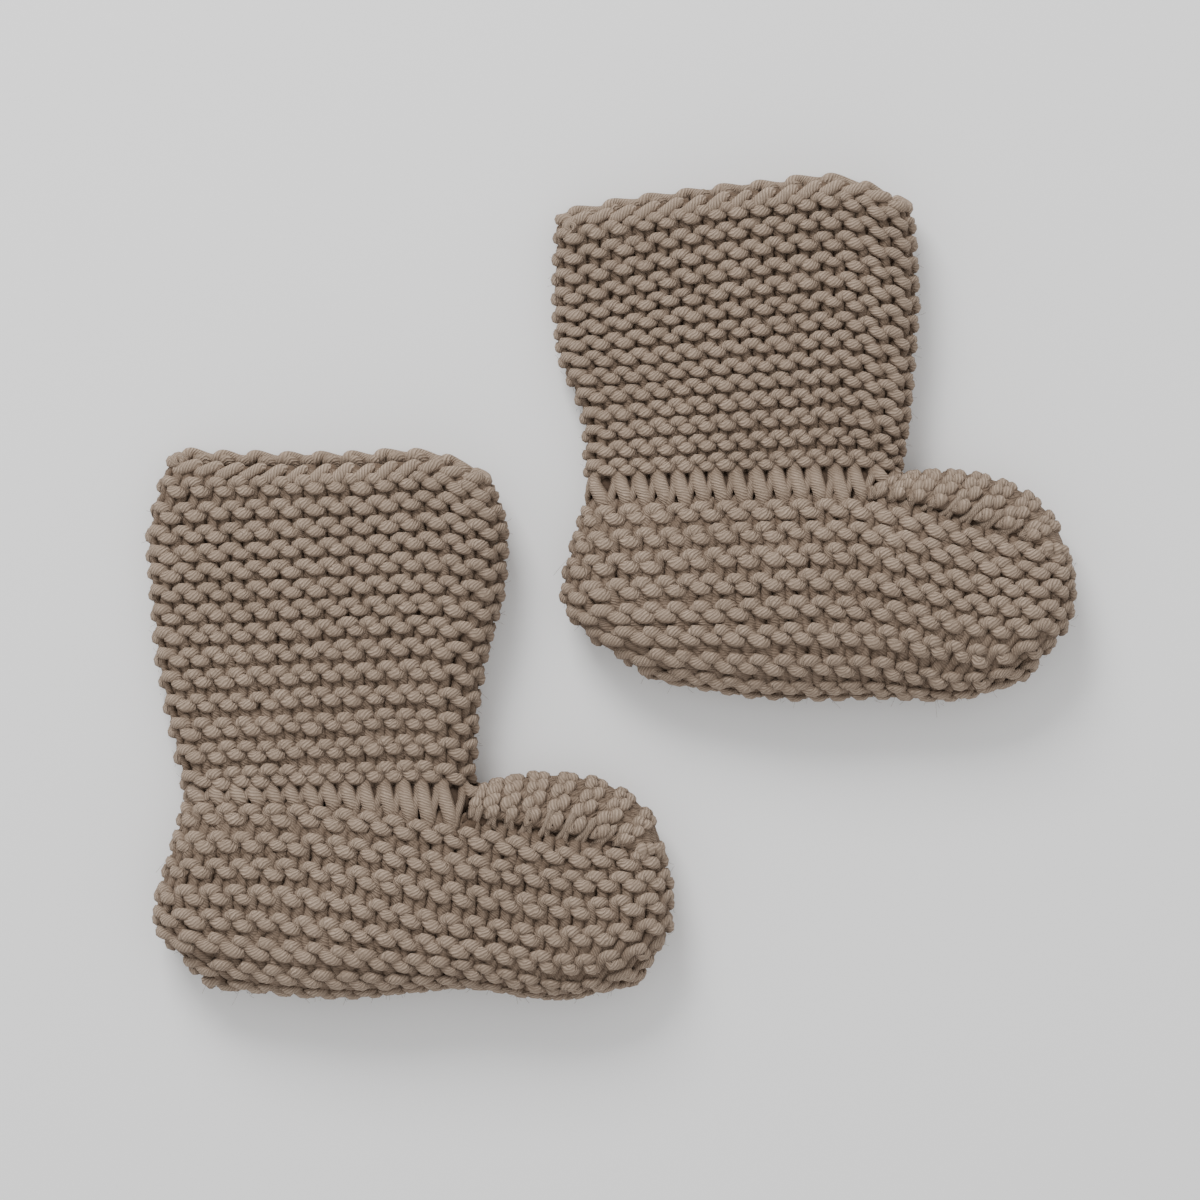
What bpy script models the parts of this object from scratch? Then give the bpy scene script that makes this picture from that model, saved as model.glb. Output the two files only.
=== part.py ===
"""A pair of hand-knitted baby booties in thick wool, lying on their sides, toes to the right.

Each bootie is one soft bag of garter-stitch fabric in four knitted pieces: a leg tube that
was seamed down its back edge, a narrow ankle band, an instep flap folded over the top of
the foot, and a foot whose sides meet in a seam along the sole.

Every piece is a flattened ring: a near side that faces up, a far side on the table, and a
fold at each end. A row of the tables below is one such ring. Its sizes are millimetres from
the bootie's ankle, the inner corner between leg and foot: x towards the toe, y up the leg,
z up from the table. They are taken at the middle of the fabric's thickness.
"""

from collections import namedtuple

import bmesh
import bpy
import numpy as np

MM = 0.001
HALF_TURN = np.pi
QUARTER_TURN = np.pi / 2

# Fabric
GARTER_WALL = 4.5
BAND_WALL = 3.4
SEAM_GAP = 0.35

# Ridges of knitting in each piece; a ridge is two rows of stitches.
LEG_RIDGES = 14.0
FOOT_RIDGES = 8.0
# The far layer's mouth edge shows this many ridges above the near one.
MOUTH_STEP = 0.5

# Where the five y sizes of a row are measured, as shares of the way from the back fold.
STATIONS = (0.0, 0.3, 0.6, 0.85, 1.0)
HEIGHT_STATIONS = (0.0, 0.5, 1.0)

# Share of a ring's near side that is taken up by its back fold and by its front fold.
LEG_FOLDS = (0.055, 0.12)
FOOT_FOLDS = (0.08, 0.10)

# Segments round each ring's near side, one number each for back fold, flat and front fold.
LEG_SEGMENTS = (3, 11, 5)
FOOT_SEGMENTS = (4, 14, 5)
BAND_STEPS = 2
LEG_STEPS = 9
FOOT_STEPS = 10
INSTEP_STEPS = 10
INSTEP_SEGMENTS = 6

Ring = namedtuple(
    "Ring",
    "ridge back_x front_x y_back y_2 y_3 y_4 y_front"
    " half_back half_middle half_front back_fold front_fold",
)
Sole = namedtuple("Sole", "turn_starts seam_angles")
Bootie = namedtuple("Bootie", "name ankle leg foot outline sole flap_starts instep")

RIGHT = Bootie(
    name="right",
    ankle=(62.4, 26.0),
    leg=(
        #    ridge  back  front     y, back to front                half heights     folds
        Ring(0.0, -66.5, -2.0, -1.0, -0.3, 0.5, 0.9, 0.0, 3.4, 5.4, 5.2, 3.4, 6.5),
        Ring(4.0, -68.0, 0.0, 14.0, 15.9, 17.5, 17.7, 14.0, 3.0, 5.1, 5.2, 3.0, 6.5),
        Ring(6.0, -71.5, 0.5, 22.0, 23.2, 24.9, 25.4, 21.0, 2.9, 5.0, 5.3, 2.8, 6.5),
        Ring(9.0, -73.0, 1.5, 31.5, 34.7, 37.3, 37.9, 33.5, 2.8, 5.0, 5.6, 2.8, 6.5),
        Ring(14.0, -73.0, 0.5, 52.0, 55.6, 58.2, 58.8, 54.0, 2.7, 5.2, 5.8, 2.7, 6.5),
    ),
    foot=(
        Ring(0.0, -66.5, 33.0, -7.5, -7.0, -7.0, -12.5, -17.0, 3.8, 6.4, 5.6, 4.0, 7.0),
        Ring(2.0, -70.0, 34.5, -18.5, -16.5, -16.5, -22.5, -23.5, 5.0, 7.4, 6.4, 5.5, 8.0),
        Ring(4.0, -71.0, 33.5, -29.0, -27.5, -27.0, -31.5, -32.0, 6.0, 7.8, 6.8, 7.0, 8.5),
        Ring(5.5, -65.5, 31.0, -35.5, -35.5, -35.5, -38.5, -36.5, 6.2, 7.8, 6.8, 7.5, 8.5),
    ),
    outline=Ring(8.0, -53.5, 24.5, -43.0, -47.1, -47.1, -47.1, -43.5, 6.2, 7.8, 6.8, 7.5, 8.5),
    sole=Sole(turn_starts=(5.5, 5.5, 5.4, 4.8, 4.8), seam_angles=(70, 72, 78, 95, 95)),
    flap_starts=0.55,
    instep=((-2.0, -2.5), (11.0, -0.5), (30.0, -2.0)),
)

LEFT = Bootie(
    name="left",
    ankle=(-27.9, -39.5),
    leg=(
        Ring(0.0, -62.0, -2.5, -2.0, -1.1, -0.4, 0.0, -1.0, 3.4, 5.4, 5.2, 3.4, 6.5),
        Ring(4.0, -66.5, -1.0, 19.0, 20.1, 21.0, 21.4, 20.0, 3.0, 5.1, 5.2, 3.0, 6.5),
        Ring(9.0, -69.0, 4.0, 42.0, 42.8, 43.8, 44.1, 42.0, 2.8, 5.0, 5.6, 2.8, 6.5),
        Ring(12.0, -69.0, 4.0, 54.5, 55.5, 56.4, 57.2, 54.5, 2.7, 5.1, 5.7, 2.7, 6.5),
        Ring(14.0, -66.0, 1.5, 65.5, 65.2, 65.4, 65.5, 62.0, 2.7, 5.2, 5.8, 2.7, 6.5),
    ),
    foot=(
        Ring(0.0, -61.5, 37.5, -5.0, -6.0, -9.5, -13.0, -14.5, 3.8, 6.4, 5.6, 4.0, 7.0),
        Ring(2.0, -64.5, 39.5, -16.5, -17.0, -21.5, -24.5, -24.0, 5.0, 7.4, 6.4, 5.5, 8.0),
        Ring(4.0, -67.5, 39.0, -27.0, -28.0, -33.5, -35.5, -33.0, 6.0, 7.8, 6.8, 7.0, 8.5),
        Ring(5.5, -67.0, 37.5, -33.5, -36.5, -38.5, -39.5, -37.0, 6.2, 7.8, 6.8, 7.5, 8.5),
    ),
    outline=Ring(8.0, -56.5, 32.5, -43.2, -45.2, -43.0, -45.2, -42.3, 6.2, 7.8, 6.8, 7.5, 8.5),
    sole=Sole(turn_starts=(5.3, 5.2, 4.5, 3.8, 3.8), seam_angles=(85, 90, 115, 142, 135)),
    flap_starts=0.58,
    instep=((0.8, -3.2), (11.0, 1.6), (36.0, 0.8)),
)

# Colour, roughness and metallic value of the wool, one row per piece.
WOOL = {
    "leg": ((0.238, 0.184, 0.141), 0.95, 0.0),
    "ankle_band": ((0.226, 0.174, 0.133), 0.95, 0.0),
    "instep": ((0.242, 0.188, 0.144), 0.95, 0.0),
    "foot": ((0.232, 0.179, 0.137), 0.95, 0.0),
}


def clear_scene():
    """Empties the scene."""
    for obj in list(bpy.data.objects):
        bpy.data.objects.remove(obj)


def smooth(stations, values, at):
    """The smooth curve through the values: between two stations a cubic, whose slope at each
    station is the mean of the slopes on its two sides."""
    stations = np.asarray(stations, float)
    values = np.asarray(values, float)
    slopes = np.gradient(values, stations)
    left = np.clip(np.searchsorted(stations, at) - 1, 0, len(stations) - 2)
    step = stations[left + 1] - stations[left]
    share = (at - stations[left]) / step
    rest = 1 - share
    ends = values[left] * (1 + 2 * share) * rest**2 + values[left + 1] * (1 + 2 * rest) * share**2
    bends = slopes[left] * share * rest**2 - slopes[left + 1] * share**2 * rest
    return ends + step * bends


def column(rings, name, ridge):
    """One column of a table of rings, at any ridge between them."""
    return smooth([ring.ridge for ring in rings], [getattr(ring, name) for ring in rings], ridge)


def mixed(stations, values, share):
    """The smooth curve across a ring, whose values at the stations may differ point by point."""
    total = 0
    for index, value in enumerate(values):
        unit = np.eye(len(stations))[index]
        total = total + smooth(stations, unit, share) * value
    return total


def sizes_of(rings, ridge):
    """All the columns of a table of rings at these ridges, as a Ring of arrays."""
    return Ring(*[column(rings, name, ridge) for name in Ring._fields])


def across(turn, width, back_fold, front_fold, folds, out):
    """How far along its row a point of a ring lies, and its share of the full height.

    turn runs from 0 at the back fold to 1 at the front fold. Each fold is a quarter of an
    ellipse, and out moves the point outwards from the middle of the fabric.
    """
    back = QUARTER_TURN * np.clip(turn / folds[0], 0, 1)
    front = QUARTER_TURN * np.clip((1 - turn) / folds[1], 0, 1)
    flat = np.clip((turn - folds[0]) / (1 - folds[0] - folds[1]), 0, 1)
    along = (back_fold + out) * (1 - np.cos(back)) - out
    along = along + (width - back_fold - front_fold) * flat
    along = along + (front_fold + out) * np.cos(front)
    return along, np.sin(back) * np.sin(front)


def ys_of(sizes):
    """The five y sizes of a row."""
    return sizes.y_back, sizes.y_2, sizes.y_3, sizes.y_4, sizes.y_front


def heights_of(sizes):
    """The three half heights of a row."""
    return sizes.half_back, sizes.half_middle, sizes.half_front


def leg_point(bootie, turn, side, ridge, out):
    """Points of the leg. side is 1 on the near side and -1 on the far side."""
    sizes = sizes_of(bootie.leg, ridge)
    width = sizes.front_x - sizes.back_x
    along, rise = across(turn, width, sizes.back_fold, sizes.front_fold, LEG_FOLDS, out)
    share = along / width
    half = mixed(HEIGHT_STATIONS, heights_of(sizes), np.clip(share, 0, 1))
    x = sizes.back_x + along
    y = mixed(STATIONS, ys_of(sizes), share)
    z = GARTER_WALL / 2 + half + side * (half + out) * rise
    return np.stack([x, y, z], axis=-1)


def foot_point(bootie, turn, side, ridge, out):
    """Points of the foot. Below the ridge where the sole turns, the rows go round a quarter
    ellipse and past it: the seam angle is how far round the sole seam lies, 90 degrees being
    the outermost line, and the far side makes up the rest of the half turn."""
    rows = list(bootie.foot)
    guess = np.clip(turn, 0, 1)
    starts = smooth(STATIONS, bootie.sole.turn_starts, guess)
    seam = np.radians(smooth(STATIONS, bootie.sole.seam_angles, guess))
    done = np.clip((ridge - starts) / (FOOT_RIDGES - starts), 0, 1)
    angle = np.where(side > 0, seam * done, HALF_TURN - (HALF_TURN - seam) * done)
    upper = sizes_of(rows, np.minimum(ridge, starts))
    turned = np.sin(angle)
    sizes = Ring(*[a + (b - a) * turned for a, b in zip(upper, bootie.outline)])
    width = sizes.front_x - sizes.back_x
    along, rise = across(turn, width, sizes.back_fold, sizes.front_fold, FOOT_FOLDS, out)
    share = along / width
    half = mixed(HEIGHT_STATIONS, heights_of(sizes), np.clip(share, 0, 1))
    x = sizes.back_x + along
    y = mixed(STATIONS, ys_of(sizes), share) - out * turned
    z = GARTER_WALL / 2 + half + (half + out) * rise * np.cos(angle)
    return np.stack([x, y, z], axis=-1)


def flap_corner(bootie):
    """Where on the foot's rim the ankle band ends and the instep flap starts, as a turn."""
    rim = bootie.foot[0]
    width = rim.front_x - rim.back_x
    flat = (bootie.flap_starts * width - rim.back_fold) / (width - rim.back_fold - rim.front_fold)
    return FOOT_FOLDS[0] + (1 - FOOT_FOLDS[0] - FOOT_FOLDS[1]) * flat


def instep_point(bootie, around, way, out, inset=0.0):
    """Points of the instep flap. around runs from 0 on the near rim, over the top of the foot
    at 0.5, to 1 on the far rim, and way from 0 at the ankle to 1 at the toe. Each row is half
    an ellipse that stands on the foot's rim and reaches the instep's outline."""
    rim = bootie.foot[0]
    corner = flap_corner(bootie)
    turn = corner + (1 - FOOT_FOLDS[1] - corner) * way
    foot = foot_point(bootie, turn, np.ones_like(turn), np.zeros_like(turn), 0.0)
    p0, p1, p2 = bootie.instep
    p3 = (rim.front_x, rim.y_front)
    rest = 1 - way
    line = []
    for a, b, c, d in zip(p0, p1, p2, p3):
        line.append(a * rest**3 + 3 * b * rest**2 * way + 3 * c * rest * way**2 + d * way**3)
    reach_x = line[0] - foot[..., 0]
    reach_y = line[1] - foot[..., 1]
    reach = np.hypot(reach_x, reach_y)
    half = (foot[..., 2] - GARTER_WALL / 2) / 2
    angle = HALF_TURN * around
    depth = inset + (reach + out - inset) * np.sin(angle)
    x = foot[..., 0] + reach_x / reach * depth
    y = foot[..., 1] + reach_y / reach * depth
    z = GARTER_WALL / 2 + half + (half + out) * np.cos(angle)
    return np.stack([x, y, z], axis=-1)


def band_foot_point(bootie, turn, side, out):
    """The ankle band's lower ring: the foot's rim up to the flap, then the flap's first row."""
    corner = flap_corner(bootie)
    bend = 1 - LEG_FOLDS[1] * 1.4
    on_foot = corner * np.clip(turn / bend, 0, 1)
    rim = foot_point(bootie, on_foot, side, np.zeros_like(turn), out)
    around = 0.5 * np.clip((turn - bend) / (1 - bend), 0, 1)
    around = np.where(side > 0, around, 1 - around)
    flap = instep_point(bootie, around, np.zeros_like(turn), out)
    return np.where((turn > bend)[..., None], flap, rim)


def band_point(bootie, turn, side, way, out):
    """Points of the ankle band, which joins the leg's lowest ring to the ring below it."""
    top = leg_point(bootie, turn, side, np.zeros_like(turn), out)
    low = band_foot_point(bootie, turn, side, out)
    return top + (low - top) * way[..., None]


def turns_of(segments, folds):
    """Positions round one side of a ring, with their own number of steps in each fold."""
    back = np.linspace(0, folds[0], segments[0] + 1)
    flat = np.linspace(folds[0], 1 - folds[1], segments[1] + 1)
    front = np.linspace(1 - folds[1], 1, segments[2] + 1)
    return np.concatenate([back[:-1], flat[:-1], front])


def round_ring(near):
    """One whole ring: the near side to the front fold, and the far side back."""
    turn = np.concatenate([near, near[-2:0:-1]])
    side = np.concatenate([np.ones(len(near)), -np.ones(len(near) - 2)])
    return turn, side


def add_grid(bm, points, closed):
    """Adds a grid of points with a face in each cell, and gives back its rows of vertices."""
    rows = [[bm.verts.new(point * MM) for point in row] for row in points]
    for lower, upper in zip(rows, rows[1:]):
        bridge(bm, lower, upper, closed)
    return rows


def bridge(bm, lower, upper, closed):
    """Adds the faces between two rows of vertices."""
    count = len(lower) if closed else len(lower) - 1
    for index in range(count):
        following = (index + 1) % len(lower)
        bm.faces.new((lower[index], lower[following], upper[following], upper[index]))


def add_node(name, bm, piece, parent):
    """Makes the mesh an object of its own wool, closed and facing out, held by its bootie."""
    bmesh.ops.remove_doubles(bm, verts=bm.verts, dist=1e-6)
    bmesh.ops.recalc_face_normals(bm, faces=bm.faces)
    mesh = bpy.data.meshes.new(name)
    bm.to_mesh(mesh)
    bm.free()
    mesh.shade_smooth()
    mesh.set_sharp_from_angle(angle=np.radians(50))
    colour, roughness, metallic = WOOL[piece]
    wool = bpy.data.materials.new(name + "_wool")
    wool.use_nodes = True
    shader = wool.node_tree.nodes["Principled BSDF"]
    shader.inputs["Base Color"].default_value = (*colour, 1)
    shader.inputs["Roughness"].default_value = roughness
    shader.inputs["Metallic"].default_value = metallic
    mesh.materials.append(wool)
    node = bpy.data.objects.new(name, mesh)
    bpy.context.collection.objects.link(node)
    node.parent = parent


def add_tube(name, surface, steps, ring, piece, parent, wall):
    """A tube of fabric, open at both ends, or closed where its last ring folds flat."""
    turn, side = ring
    bm = bmesh.new()
    skins = []
    for out in (wall / 2, -wall / 2):
        points = [surface(turn, side, step, out) for step in steps]
        skins.append(add_grid(bm, points, closed=True))
    bridge(bm, skins[0][0], skins[1][0], closed=True)
    if np.ptp(points[-1][:, 2] - points[-1][-np.arange(len(turn)), 2]) > 1e-6:
        bridge(bm, skins[0][-1], skins[1][-1], closed=True)
    add_node(name, bm, piece, parent)


def add_instep(name, bootie, parent):
    """The instep flap, an open sheet folded over the top of the foot."""
    around = np.linspace(0, 1, 2 * INSTEP_SEGMENTS + 1)
    bm = bmesh.new()
    skins = []
    for out in (GARTER_WALL / 2, -GARTER_WALL / 2):
        rows = []
        for way in np.linspace(0.005, 0.988, INSTEP_STEPS + 1):
            rows.append(instep_point(bootie, around, np.full_like(around, way), out, SEAM_GAP))
        skins.append(add_grid(bm, rows, closed=False))
    outer, inner = skins
    rim_of_outer = outer[0] + [row[-1] for row in outer[1:]]
    rim_of_outer = rim_of_outer + outer[-1][-2::-1] + [row[0] for row in outer[-2:0:-1]]
    rim_of_inner = inner[0] + [row[-1] for row in inner[1:]]
    rim_of_inner = rim_of_inner + inner[-1][-2::-1] + [row[0] for row in inner[-2:0:-1]]
    bridge(bm, rim_of_outer, rim_of_inner, closed=True)
    add_node(name, bm, "instep", parent)


def add_bootie(bootie):
    """One bootie: leg, ankle band, instep flap and foot."""
    holder = bpy.data.objects.new(bootie.name + "_bootie", None)
    holder.location = (bootie.ankle[0] * MM, bootie.ankle[1] * MM, 0)
    bpy.context.collection.objects.link(holder)

    leg_ring = round_ring(turns_of(LEG_SEGMENTS, LEG_FOLDS))
    foot_ring = round_ring(turns_of(FOOT_SEGMENTS, FOOT_FOLDS))

    def leg_surface(turn, side, step, out):
        rise = np.sin(QUARTER_TURN * np.clip(turn / LEG_FOLDS[0], 0, 1))
        rise = rise * np.sin(QUARTER_TURN * np.clip((1 - turn) / LEG_FOLDS[1], 0, 1))
        mouth = LEG_RIDGES + MOUTH_STEP * (1 - side * rise) / 2
        return leg_point(bootie, turn, side, mouth * step, out)

    def band_surface(turn, side, step, out):
        return band_point(bootie, turn, side, np.full_like(turn, step), out)

    def foot_surface(turn, side, step, out):
        return foot_point(bootie, turn, side, np.full_like(turn, step), out)

    add_tube(
        bootie.name + "_leg",
        leg_surface,
        np.linspace(0, 1, LEG_STEPS + 1),
        leg_ring,
        "leg",
        holder,
        GARTER_WALL,
    )
    add_tube(
        bootie.name + "_ankle_band",
        band_surface,
        np.linspace(0.1, 0.9, BAND_STEPS + 1),
        leg_ring,
        "ankle_band",
        holder,
        BAND_WALL,
    )
    add_tube(
        bootie.name + "_foot",
        foot_surface,
        np.linspace(0, FOOT_RIDGES, FOOT_STEPS + 1),
        foot_ring,
        "foot",
        holder,
        GARTER_WALL,
    )
    add_instep(bootie.name + "_instep", bootie, holder)


clear_scene()
add_bootie(RIGHT)
add_bootie(LEFT)
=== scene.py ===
from collections import namedtuple

import bpy
import numpy as np
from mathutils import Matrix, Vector


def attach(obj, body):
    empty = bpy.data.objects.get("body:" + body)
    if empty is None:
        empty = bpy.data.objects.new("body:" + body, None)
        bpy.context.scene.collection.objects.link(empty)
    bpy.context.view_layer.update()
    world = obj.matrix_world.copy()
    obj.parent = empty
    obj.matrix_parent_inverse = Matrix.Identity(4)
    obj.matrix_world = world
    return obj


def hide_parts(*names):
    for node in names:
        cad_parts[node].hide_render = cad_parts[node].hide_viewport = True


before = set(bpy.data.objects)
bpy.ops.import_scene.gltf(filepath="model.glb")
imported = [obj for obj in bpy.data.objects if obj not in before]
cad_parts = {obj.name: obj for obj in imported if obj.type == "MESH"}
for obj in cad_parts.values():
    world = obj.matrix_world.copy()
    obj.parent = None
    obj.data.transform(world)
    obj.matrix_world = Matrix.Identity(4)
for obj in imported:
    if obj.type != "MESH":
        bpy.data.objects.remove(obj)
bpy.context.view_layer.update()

# ---------------------------------------------------------------------------
# Camera
# Straight above the pair, which lies flat, as in the photograph. The frame is 254 mm
# wide on the level of the booties' upper sides.
# ---------------------------------------------------------------------------

CAMERA_HEIGHT = 0.80
VIEW_WIDTH = 0.2538
UPPER_SIDES = 0.012

lens = bpy.data.cameras.new("camera")
lens.sensor_width = 36
lens.lens = 36 * (CAMERA_HEIGHT - UPPER_SIDES) / VIEW_WIDTH
camera = bpy.data.objects.new("camera", lens)
camera.location = (-0.0023, -0.0019, CAMERA_HEIGHT)
bpy.context.scene.collection.objects.link(camera)
bpy.context.scene.camera = camera

# ---------------------------------------------------------------------------
# Legs
# Each leg is a tube of garter stitch in thick plied wool, knitted flat and sewn down its
# back edge. Every row is one length of yarn that runs in loops; the loops of two rows
# stand out together as a ridge. The mouth is its cast-on edge, a chain laid round the top.
# ---------------------------------------------------------------------------

MM = 0.001
WHOLE_TURN = 2 * np.pi
HALF_TURN = np.pi
QUARTER_TURN = np.pi / 2
BODY = "root"

# The fabric's thickness, the shares of its folds and the sizes of its rings, in
# millimetres from each bootie's ankle, follow the solid's. Only the feet's rings near the
# rim differ, by up to 1.6 mm, and the two ends of each sole's seam.
GARTER_WALL = 4.5
LEG_RIDGES = 14.0
MOUTH_STEP = 0.5
STATIONS = (0.0, 0.3, 0.6, 0.85, 1.0)
HEIGHT_STATIONS = (0.0, 0.5, 1.0)
LEG_FOLDS = (0.055, 0.12)

Ring = namedtuple(
    "Ring",
    "ridge back_x front_x y_back y_2 y_3 y_4 y_front"
    " half_back half_middle half_front back_fold front_fold",
)
# yarn is its radius, end the place of the yarn's end, and flat the cut in metres.
Leg = namedtuple("Leg", "name ankle rings stitches yarn end flat")

LEGS = (
    Leg(
        "right",
        (62.4, 26.0),
        (
            Ring(0.0, -66.5, -2.0, -1.0, -0.3, 0.5, 0.9, 0.0, 3.4, 5.4, 5.2, 3.4, 6.5),
            Ring(4.0, -68.0, 0.0, 14.0, 15.9, 17.5, 17.7, 14.0, 3.0, 5.1, 5.2, 3.0, 6.5),
            Ring(6.0, -71.5, 0.5, 22.0, 23.2, 24.9, 25.4, 21.0, 2.9, 5.0, 5.3, 2.8, 6.5),
            Ring(9.0, -73.0, 1.5, 31.5, 34.7, 37.3, 37.9, 33.5, 2.8, 5.0, 5.6, 2.8, 6.5),
            Ring(14.0, -73.0, 0.5, 52.0, 55.6, 58.2, 58.8, 54.0, 2.7, 5.2, 5.8, 2.7, 6.5),
        ),
        32,
        1.22,
        (-8.4, 77.4, 9.0),
        (0.158, 0.060),
    ),
    Leg(
        "left",
        (-27.9, -39.5),
        (
            Ring(0.0, -62.0, -2.5, -2.0, -1.1, -0.4, 0.0, -1.0, 3.4, 5.4, 5.2, 3.4, 6.5),
            Ring(4.0, -66.5, -1.0, 19.0, 20.1, 21.0, 21.4, 20.0, 3.0, 5.1, 5.2, 3.0, 6.5),
            Ring(9.0, -69.0, 4.0, 42.0, 42.8, 43.8, 44.1, 42.0, 2.8, 5.0, 5.6, 2.8, 6.5),
            Ring(12.0, -69.0, 4.0, 54.5, 55.5, 56.4, 57.2, 54.5, 2.7, 5.1, 5.7, 2.7, 6.5),
            Ring(14.0, -66.0, 1.5, 65.5, 65.2, 65.4, 65.5, 62.0, 2.7, 5.2, 5.8, 2.7, 6.5),
        ),
        30,
        1.36,
        (-92.0, 27.6, 8.4),
        (0.152, 0.067),
    ),
)

# One stitch. Height is in rows, depth and yarn, which is its radius, in millimetres, and
# early an angle. The others are shares: of a stitch for bulge, skew and lean, and of the
# height for slope.
Stitch = namedtuple(
    "Stitch", "height depth square early bulge skew lean slope yarn taper flatness"
)
GARTER = Stitch(
    height=1.72,
    depth=1.25,
    square=0.3,
    early=0.26,
    bulge=0.14,
    skew=0.04,
    lean=0.06,
    slope=-0.03,
    yarn=1.4,
    taper=0.02,
    flatness=0.68,
)
LEG_ROWS = 27
# How far up its ridge the lowest line of the yarn lies.
LEG_ROW_START = 0.1
# Unevenness of hand knitting: of place in stitches, height in rows, depth in millimetres
# and thickness as a share.
UNEVEN_PLACE = 0.045
UNEVEN_HEIGHT = 0.07
UNEVEN_DEPTH = 0.05
UNEVEN_THICK = 0.06

# Points along a stitch, corners round a ring's yarn and round an open length of yarn, the
# length of yarn in which its plies turn on by one, and how many plies lie round it.
SAMPLES = 14
SIDES = 7
OPEN_SIDES = 8
PLY_LENGTH = 0.62
PLIES = 8
# Depths in the fabric at which the yarn is in full shade and in full light, and one beyond
# them for yarn that lies free.
SHADE_DEPTH = 0.2
LIGHT_DEPTH = 1.7
FREE_DEPTH = 3.0

# The chain along the mouth: the ridge that it lies round, its radius and its flatness.
CHAIN_RIDGE = 13.85
CHAIN_YARN = 1.35
CHAIN_FLATNESS = 0.8
# The worked-in yarn end: turns, inner radius, growth, sinking and points.
COIL_TURNS = 2.1
COIL_START = 0.3
COIL_GROWTH = 1.3
COIL_SINKING = 2.6
COIL_POINTS = 30
# Loose hairs: lengths, depths they start at, radius, points and how many on a piece.
HAIR_LENGTHS = (0.5, 1.5)
HAIR_DEPTHS = (0.9, 2.0)
HAIR_RADIUS = 0.025
HAIR_POINTS = 4
LEG_HAIRS = 1300
FOOT_HAIRS = 1301
# The fabric's middle: half its thickness, how far it waves and how deep it lies.
CORE_HALF_THICK = 0.15
CORE_WAVE = 0.7
CORE_DEPTH = -0.2


def smooth(stations, values, at):
    """The smooth curve through the values: between two stations a cubic, whose slope at each
    station is the mean of the slopes on its two sides."""
    stations = np.asarray(stations, float)
    values = np.asarray(values, float)
    slopes = np.gradient(values, stations)
    left = np.clip(np.searchsorted(stations, at) - 1, 0, len(stations) - 2)
    step = stations[left + 1] - stations[left]
    share = (at - stations[left]) / step
    rest = 1 - share
    ends = values[left] * (1 + 2 * share) * rest**2 + values[left + 1] * (1 + 2 * rest) * share**2
    bends = slopes[left] * share * rest**2 - slopes[left + 1] * share**2 * rest
    return ends + step * bends


def mixed(stations, values, share):
    """The smooth curve across a ring, whose values at the stations may differ point by point:
    the sum of each value times the curve that is 1 at its own station and 0 at the others."""
    total = 0
    for index, value in enumerate(values):
        total = total + smooth(stations, np.eye(len(stations))[index], share) * value
    return total


def sizes_of(rings, ridge):
    """All the columns of a table of rings at these ridges, each the smooth curve through it."""
    stations = [ring.ridge for ring in rings]
    columns = zip(*rings)
    return Ring(*[smooth(stations, values, ridge) for values in columns])


def edge_rise(turn, folds):
    """The share of the full height at a turn: a sine over each fold, and 1 between them."""
    rise = np.sin(QUARTER_TURN * np.clip(turn / folds[0], 0, 1))
    return rise * np.sin(QUARTER_TURN * np.clip((1 - turn) / folds[1], 0, 1))


def across(turn, width, back_fold, front_fold, folds, out):
    """How far along its row a point of a ring lies. turn runs from 0 at the back fold to 1 at
    the front fold; each fold is a quarter of an ellipse, and out moves the point outwards from
    the middle of the fabric."""
    back = QUARTER_TURN * np.clip(turn / folds[0], 0, 1)
    front = QUARTER_TURN * np.clip((1 - turn) / folds[1], 0, 1)
    flat = np.clip((turn - folds[0]) / (1 - folds[0] - folds[1]), 0, 1)
    along = (back_fold + out) * (1 - np.cos(back)) - out
    along = along + (width - back_fold - front_fold) * flat
    return along + (front_fold + out) * np.cos(front)


def on_ring(ring, sizes, turn, folds, out):
    """The x, y, half height and share of it of points on a ring: x by how far along the row
    they lie, and the others by the curves through the ring's stations."""
    width = sizes.front_x - sizes.back_x
    along = across(turn, width, sizes.back_fold, sizes.front_fold, folds, out)
    share = along / width
    heights = (sizes.half_back, sizes.half_middle, sizes.half_front)
    ys = (sizes.y_back, sizes.y_2, sizes.y_3, sizes.y_4, sizes.y_front)
    half = mixed(HEIGHT_STATIONS, heights, np.clip(share, 0, 1))
    x = ring.ankle[0] + sizes.back_x + along
    y = ring.ankle[1] + mixed(STATIONS, ys, share)
    return x, y, half, edge_rise(turn, folds)


def sides_of(place):
    """A place round a ring, from 0 at the back over the near side to 1 at the front and back
    over the far side to 2, as a turn from back to front and a side, 1 near or -1 far."""
    place = place % 2
    return np.where(place < 1, place, 2 - place), np.where(place < 1, 1.0, -1.0)


def leg_surface(leg):
    """A leg as a function of the place round it and the ridge up it: a flattened ring whose
    two sides lie half a height above and below the middle, with out added outwards. At the
    mouth the far side reaches up one mouth step further than the near side."""

    def surface(place, ridge, out):
        turn, side = sides_of(place)
        step = MOUTH_STEP * (1 - side * edge_rise(turn, LEG_FOLDS)) / 2
        ridge = ridge * (1 + step / LEG_RIDGES)
        sizes = sizes_of(leg.rings, ridge)
        x, y, half, rise = on_ring(leg, sizes, turn, LEG_FOLDS, out)
        return np.stack([x, y, GARTER_WALL / 2 + half + side * (half + out) * rise], axis=-1)

    return surface


def uneven(random, rows, stitches, size):
    """Unevenness of hand knitting: one random number a stitch, joined by smooth steps."""
    own = random.normal(size=(rows, stitches)) * size
    following = np.roll(own, -1, axis=1)
    step = np.linspace(0, 1, SAMPLES, endpoint=False)
    step = step * step * (3 - 2 * step)
    blended = own[:, :, None] * (1 - step) + following[:, :, None] * step
    return blended.reshape(rows, -1)


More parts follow.
